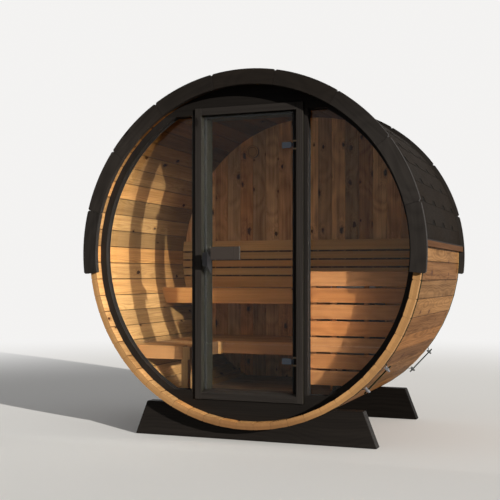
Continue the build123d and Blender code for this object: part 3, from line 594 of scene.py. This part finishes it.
def hoop_material():
    """Dark painted band and rod with zinc plated lugs and nuts; on the rear hoop painted shade takes the
    lugs mostly to the paint colour.
    """
    made, t, shader, _ = new_material("hoop_finish")
    x, y, z = t.place()
    _, r = t.polar(x, z)
    lean = math.radians(ROD_ANGLE)
    along = t.math("ADD", t.math("MULTIPLY", x, -math.sin(lean)),
                   t.math("MULTIPLY", t.math("SUBTRACT", z, AXIS_Z), math.cos(lean)))
    along = t.math("ABSOLUTE", along)
    zinc = t.math("MULTIPLY", t.span(r, *HOOP_OUTSIDE), t.between(along, *LUGS))
    spangle = t.noise(t.here(), 180.0, 2.0)
    worn = t.span(t.noise(t.here(), 25.0, 3.0), 0.55, 0.75)
    paint = t.mix(worn, (0.010, 0.017, 0.010), (0.020, 0.021, 0.014))
    plate = t.mix(spangle, (0.24, 0.25, 0.27), (0.44, 0.45, 0.48))
    # Painted shade: the rear hoop's lugs get only a quarter of the zinc.
    rear = t.math("GREATER_THAN", y, 0.0)
    zinc = t.math("MULTIPLY", zinc, t.math("MULTIPLY_ADD", rear, -0.75, 1.0))
    t.feed(shader.inputs["Base Color"], t.mix(zinc, paint, plate))
    t.feed(shader.inputs["Metallic"], t.math("MULTIPLY", zinc, 0.8))
    t.feed(shader.inputs["Roughness"], t.math("MULTIPLY_ADD", zinc, -0.4, 0.9))
    shader.inputs["Specular IOR Level"].default_value = 0.02
    return made


def heater_material():
    """Dark grey enamel with a grey strip low down; the rim round the stones is a pale blue-white painted
    reflection of sky in bare steel.
    """
    made, t, shader, _ = new_material("heater_enamel")
    z = t.place()[2]
    mottle = t.noise(t.here(), 120.0, 3.0)
    colour = t.mix(mottle, (0.024, 0.026, 0.024), (0.040, 0.042, 0.040))
    colour = t.mix(t.between(z, *HEATER_STRIP), colour, (0.17, 0.17, 0.16))
    # Painted reflection: the rim's pale blue-white stands for bare steel mirroring the sky, with no metal
    # in the shader.
    steel = t.mix(mottle, (0.74, 0.80, 0.92), (0.86, 0.92, 1.0))
    t.feed(shader.inputs["Base Color"], t.mix(t.span(z, *HEATER_RIM), colour, steel))
    t.feed(shader.inputs["Roughness"], t.math("MULTIPLY_ADD", mottle, 0.2, 0.35))
    shader.inputs["Specular IOR Level"].default_value = 0.3
    return made


def glass_material(name):
    """Clear glass that lets the sun through."""
    made, t, shader, out = new_material(name)
    shader.inputs["Base Color"].default_value = (0.86, 0.88, 0.87, 1.0)
    shader.inputs["Roughness"].default_value = 0.0
    shader.inputs["IOR"].default_value = 1.45
    shader.inputs["Transmission Weight"].default_value = 1.0
    clear = t.node("ShaderNodeBsdfTransparent")
    clear.inputs["Color"].default_value = (0.84, 0.86, 0.85, 1.0)
    shadow = t.node("ShaderNodeLightPath").outputs["Is Shadow Ray"]
    t.blend(out, shadow, shader.outputs[0], clear.outputs[0])
    return made


dress(["front_hoop", "rear_hoop"], hoop_material())
dress(["window_glass_left", "window_glass_right", "door_glass"], glass_material("pane_glass"))
dress(["window_seals", "door_seals"], plain("black_seal", (0.012, 0.012, 0.013), 0.6))
dress(["door_hinge_clamps"], plain("hinge_steel", (0.040, 0.048, 0.062), 0.45, 0.3, 0.08))
# Steel hinge brackets; their pale tan colour is a painted glint of the hinge knuckle.
dress(["door_hinge_brackets"], plain("bracket_steel_painted_glint", (0.34, 0.25, 0.17), 0.45, 0.2, 0.08))
dress(["door_lock_case"], plain("lock_satin", (0.044, 0.034, 0.028), 0.55, 0.1, 0.08))
dress(["door_handle"], plain("handle_black", (0.010, 0.010, 0.012), 0.5, 0.0, 0.1))
dress(["heater_body"], heater_material())


# Shingles: angle of the roof's lower edge, radius of their bed, and arc length from that edge to the top
ROOF_LOW = math.asin((1.1723 - AXIS_Z) / 1.0287)
BED_R = 1.0312
ROOF_HALF = BED_R * (math.pi / 2 - ROOF_LOW)

COURSE = 0.127
FIRST_COURSE = 0.092 - COURSE
LEAST_COURSE = 0.02
LAP = 0.050
SHINGLE_T = 0.0016
LOW_END_LIFT = SHINGLE_T + 0.0003
END_GAP = 0.0005
TAB = 0.333
FIRST_NOTCH = 0.241
NOTCH_LOW, NOTCH_TOP, NOTCH_H = 0.046, 0.030, 0.030

# Cap strip along the top, and the underlay
CAPS = 9
CAP_HALF = 0.075
CAP_LAP = 0.03
CAP_LIFT, CAP_RISE = 0.0052, 0.0036
BED_LIFT, BED_UNDER = -0.0016, -0.0024
BED_STEPS = 48


def roof_point(y, s, lift):
    """Point at depth y and arc length s over the right edge, and its height over the bed."""
    angle = ROOF_LOW + s / BED_R
    r = BED_R + lift
    return Vector((r * math.cos(angle), FRONT + y, AXIS_Z + r * math.sin(angle)))


def add_sheet(bm, grid):
    """Thin closed sheet from rows of (outer point, inner point)."""
    outer = [[bm.verts.new(o) for o, _ in row] for row in grid]
    inner = [[bm.verts.new(i) for _, i in row] for row in grid]
    rows, cols = len(grid), len(grid[0])
    for r in range(rows - 1):
        for c in range(cols - 1):
            bm.faces.new((outer[r][c], outer[r][c + 1], outer[r + 1][c + 1], outer[r + 1][c]))
            bm.faces.new((inner[r][c], inner[r + 1][c], inner[r + 1][c + 1], inner[r][c + 1]))
    for r in range(rows - 1):
        bm.faces.new((outer[r][0], outer[r + 1][0], inner[r + 1][0], inner[r][0]))
        bm.faces.new((outer[r][-1], inner[r][-1], inner[r + 1][-1], outer[r + 1][-1]))
    for c in range(cols - 1):
        bm.faces.new((outer[0][c], inner[0][c], inner[0][c + 1], outer[0][c + 1]))
        bm.faces.new((outer[-1][c], outer[-1][c + 1], inner[-1][c + 1], inner[-1][c]))


def new_object(name, bm, made):
    """Object with one material, linked to the scene."""
    mesh = bpy.data.meshes.new(name)
    bm.to_mesh(mesh)
    bm.free()
    mesh.materials.append(made)
    new = bpy.data.objects.new(name, mesh)
    bpy.context.scene.collection.objects.link(new)
    return new


def add_piece(name, bm, made, smooth=None):
    """Piece that rides the sauna's body, with edges over the angle smooth left sharp."""
    bmesh.ops.recalc_face_normals(bm, faces=bm.faces)
    piece = new_object(name, bm, made)
    if smooth:
        piece.data.shade_smooth()
        piece.modifiers.new("edges", "EDGE_SPLIT").split_angle = math.radians(smooth)
    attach(piece, "sauna")
    return piece


def shingle_material():
    """Dark brown mineral granules, darker in the hidden strip that the notches show."""
    made, t, shader, _ = new_material("shingle_granules")
    x, y, z = t.place()
    angle, r = t.polar(x, z)
    side = t.math("SUBTRACT", math.pi / 2, t.math("ABSOLUTE", t.math("SUBTRACT", angle, math.pi / 2)))
    arc = t.math("MULTIPLY", t.math("SUBTRACT", side, ROOF_LOW), BED_R)
    k = t.math("DIVIDE", t.math("SUBTRACT", arc, FIRST_COURSE), COURSE)
    row = t.math("FLOOR", k)
    tab = t.math("FLOOR", t.math("DIVIDE", t.math("ADD", y, t.math("MULTIPLY", row, TAB / 2)), TAB))
    pick, warm, _, _ = t.random(row, tab, t.math("GREATER_THAN", x, 0.0))
    fine = t.noise(t.here(), 700.0, 2.0, 0.7)
    broad = t.noise(t.here(), 9.0, 3.0)
    base = t.mix(t.span(warm, 0.0, 1.0), (0.0100, 0.0070, 0.0048), (0.0070, 0.0058, 0.0049))
    grains = t.mix(t.span(fine, 0.50, 0.72), base, (0.040, 0.029, 0.020))
    grains = t.mix(t.span(fine, 0.48, 0.30), grains, (0.006, 0.005, 0.004))
    level = t.math("MULTIPLY_ADD", pick, 0.4, t.math("MULTIPLY_ADD", broad, 0.5, 0.58))
    grains = t.scale(grains, level)
    below = t.math("LESS_THAN", t.math("SUBTRACT", k, row), 0.3)
    strip = t.math("MULTIPLY", below, t.span(t.math("SUBTRACT", r, BED_R), 0.0024, 0.0019))
    grains = t.mix(t.math("MULTIPLY", strip, 0.9), grains, (0.004, 0.0035, 0.003))
    t.feed(shader.inputs["Base Color"], grains)
    shader.inputs["Roughness"].default_value = 0.9
    shader.inputs["Specular IOR Level"].default_value = 0.05
    bump(t, shader, fine, 0.0012, 0.8)
    return made


def shingles():
    """Courses of notched shingles up both sides, with a cap strip along the top."""
    bm = bmesh.new()
    y0, y1 = END_GAP, LENGTH - END_GAP

    def both(y, s, low, mirrored):
        """Outer and inner point of a shingle that leans on the course below it."""
        under = LOW_END_LIFT * (1 - (s - low) / COURSE)
        pair = [roof_point(y, s, under + SHINGLE_T), roof_point(y, s, under)]
        if mirrored:
            pair = [Vector((-p.x, p.y, p.z)) for p in pair]
        return tuple(pair)

    def tabs(low, odd, mirrored):
        """The lower ends of a course, parted by notches."""
        shift = FIRST_NOTCH if odd else FIRST_NOTCH - TAB / 2
        edges = [shift + n * TAB for n in range(-2, 6)]
        edges = [e for e in edges if y0 + NOTCH_LOW < e < y1 - NOTCH_LOW]
        bounds = [y0] + edges + [y1]
        for a, b in zip(bounds, bounds[1:]):
            rows = []
            for s, notch in ((low, NOTCH_LOW), (low + NOTCH_H, NOTCH_TOP)):
                left = a if a == y0 else a + notch
                right = b if b == y1 else b - notch
                rows.append([both(left + (right - left) * f, s, low, mirrored) for f in (0, 0.5, 1)])
            add_sheet(bm, rows)

    for mirrored in (False, True):
        low = FIRST_COURSE
        index = -1
        while low < ROOF_HALF - LEAST_COURSE:
            start = max(low, 0.0)
            top = min(low + COURSE + LAP, ROOF_HALF)
            if index >= 0:
                tabs(low, index % 2, mirrored)
                start = low + NOTCH_H
            levels = [start + (top - start) * f / 4 for f in range(5)]
            add_sheet(bm, [[both(y, s, low, mirrored) for y in (y0, y1)] for s in levels])
            low += COURSE
            index += 1
    cap_pitch = (y1 - y0) / CAPS
    for n in range(CAPS):
        ya = y0 + n * cap_pitch
        yb = min(ya + cap_pitch + CAP_LAP, y1)
        rows = []
        for f in (-1, -0.5, 0, 0.5, 1):
            s = ROOF_HALF + f * CAP_HALF
            rows.append([(roof_point(y, s, lift + SHINGLE_T), roof_point(y, s, lift))
                         for y, lift in ((ya, CAP_LIFT + CAP_RISE), (yb, CAP_LIFT))])
        add_sheet(bm, rows)
    levels = [ROOF_HALF * 2 * f / BED_STEPS for f in range(BED_STEPS + 1)]
    add_sheet(bm, [[(roof_point(y, s, BED_LIFT), roof_point(y, s, BED_UNDER)) for y in (y0, y1)]
                   for s in levels])
    piece = add_piece("roof_shingles", bm, shingle_material())
    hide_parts("roof_cover")


shingles()


# Stones on the heater: count along X and Y, depth under the top and further margin of each layer
STONE_LAYERS = ((4, 4, 0.085, 0.0), (5, 4, 0.036, 0.0), (3, 2, 0.024, 0.03))
STONE_MARGIN = 0.034


def bent(p, seed):
    """Point of a round stone, moved to a broken one."""
    bend = (1.0 + 0.16 * math.sin(p.x * 90 + seed) * math.cos(p.y * 110 + seed)
            + 0.09 * math.sin(p.z * 160 + seed))
    return Vector((p.x * bend, p.y * bend * 0.85, p.z * bend * 0.72))


def stones():
    """Broken stones piled in the heater's open top."""
    rng = random.Random(7)
    bm = bmesh.new()
    low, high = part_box("heater_stones")
    for count_x, count_y, under, more in STONE_LAYERS:
        margin = STONE_MARGIN + more
        for i in range(count_x):
            for j in range(count_y):
                size = rng.uniform(0.026, 0.033)
                fx = (i + 0.5 + rng.uniform(-0.16, 0.16)) / count_x
                fy = (j + 0.5 + rng.uniform(-0.16, 0.16)) / count_y
                x = low.x + margin + fx * (high.x - low.x - 2 * margin)
                y = low.y + margin + fy * (high.y - low.y - 2 * margin)
                turn = rng.uniform(0, 6.3)
                axis = Vector((rng.uniform(-1, 1), rng.uniform(-1, 1), 1.0))
                place = Matrix.Translation((x, y, high.z - under)) @ Matrix.Rotation(turn, 4, axis)
                made = bmesh.ops.create_icosphere(bm, subdivisions=2, radius=size)
                seed = rng.uniform(0, 50)
                for vert in made["verts"]:
                    vert.co = place @ bent(vert.co, seed)
    grey = plain("stone_grey", (0.10, 0.10, 0.105), 0.8, speck=0.4, scale=120.0, relief=0.0015)
    piece = add_piece("loose_stones", bm, grey, smooth=50)
    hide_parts("heater_stones")


stones()


# Camera, with its focal length and shift in pixels of the photo
PHOTO_SIZE = 500.0
FOCAL_PX = 934.5
SHIFT_PX = 26.3
SENSOR = 36.0
CAMERA_AT = (1.9643, -5.0349 + FRONT, 0.9672)
CAMERA_TURN = 0.3662
cam_data = bpy.data.cameras.new("photo_camera")
cam_data.sensor_width = SENSOR
cam_data.lens = FOCAL_PX * SENSOR / PHOTO_SIZE
cam_data.shift_y = SHIFT_PX / PHOTO_SIZE
camera = bpy.data.objects.new("photo_camera", cam_data)
camera.location = CAMERA_AT
camera.rotation_euler = (math.radians(90), 0.0, CAMERA_TURN)
bpy.context.scene.collection.objects.link(camera)
bpy.context.scene.camera = camera


# Studio: the sun stands in the direction SUN_FROM
SUN_FROM = (1.70, -1.0, 0.50)
PAPER_WHITE = (1.0, 0.99, 0.98, 1.0)


def seen_rays(t):
    """1 for what the camera sees, also mirrored or through glass, and 0 for the light that falls on the
    object. What is mirrored inside a pane counts for a quarter."""
    path = t.node("ShaderNodeLightPath").outputs
    glossy, through = path["Is Glossy Ray"], path["Is Transmission Ray"]
    seen = t.math("MAXIMUM", path["Is Camera Ray"], t.math("MAXIMUM", glossy, through))
    seen = t.math("MULTIPLY", seen, t.math("LESS_THAN", path["Diffuse Depth"], 0.5))
    inside_pane = t.math("MULTIPLY", through, t.math("GREATER_THAN", path["Glossy Depth"], 0.5))
    return t.math("MULTIPLY", seen, t.math("MULTIPLY_ADD", inside_pane, -0.75, 1.0))


def dark_card(name, made, scale, turn, location):
    """Dark card that only gloss and glass reflect."""
    bm = bmesh.new()
    bmesh.ops.create_grid(bm, x_segments=1, y_segments=1, size=1.0)
    card = new_object(name, bm, made)
    card.scale = scale
    card.rotation_euler = turn
    card.location = location
    for kind in ("camera", "diffuse", "shadow", "transmission"):
        setattr(card, "visible_" + kind, False)


def studio_world():
    """Pale world, dimmed as light on the object."""
    world = bpy.data.worlds.new("studio")
    bpy.context.scene.world = world
    world.use_nodes = True
    world.node_tree.nodes.clear()
    t = Tree(world.node_tree)
    seen = seen_rays(t)
    back = t.node("ShaderNodeBackground")
    back.inputs["Color"].default_value = PAPER_WHITE
    t.feed(back.inputs["Strength"], t.math("MULTIPLY_ADD", seen, 0.62, 0.28))
    t.feed(t.node("ShaderNodeOutputWorld").inputs["Surface"], back.outputs[0])


def studio_floor():
    """Pale floor that turns into the world's white far out."""
    bm = bmesh.new()
    bmesh.ops.create_circle(bm, cap_ends=True, segments=96, radius=14.0)
    made, t, shader, out = new_material("floor_paper")
    seen = seen_rays(t)
    t.feed(shader.inputs["Base Color"], t.mix(seen, (0.20, 0.185, 0.165), (0.86, 0.86, 0.85)))
    shader.inputs["Roughness"].default_value = 0.9
    glow = t.node("ShaderNodeEmission")
    glow.inputs["Color"].default_value = PAPER_WHITE
    t.feed(glow.inputs["Strength"], t.math("MULTIPLY_ADD", seen, 0.75, 0.15))
    x, y, _ = t.place()
    t.blend(out, t.span(t.length(x, y), *FAR_FLOOR), shader.outputs[0], glow.outputs[0])
    floor = new_object("studio_floor", bm, made)
    floor.location.z = -0.001


def dark_cards():
    """What the panes mirror in place of the photo's trees."""
    made, _, shader, _ = new_material("card_black")
    shader.inputs["Base Color"].default_value = (0.02, 0.02, 0.02, 1.0)
    shader.inputs["Roughness"].default_value = 1.0
    dark_card("front_card", made, (14.0, 5.0, 1.0), (math.radians(90), 0.0, 0.0), (-2.0, -8.0, 4.0))
    dark_card("low_card", made, (14.0, 3.4, 1.0), (0.0, 0.0, 0.0), (-2.0, -4.4, 0.004))


def key_sun():
    data = bpy.data.lights.new("key", "SUN")
    data.energy = 5.5
    data.color = (1.0, 0.96, 0.90)
    data.angle = math.radians(0.7)
    sun = bpy.data.objects.new("key", data)
    sun.location = SUN_FROM
    sun.rotation_euler = Vector(SUN_FROM).to_track_quat("Z", "Y").to_euler()
    bpy.context.scene.collection.objects.link(sun)


studio_world()
studio_floor()
dark_cards()
key_sun()

scene = bpy.context.scene
scene.view_settings.view_transform = "Standard"
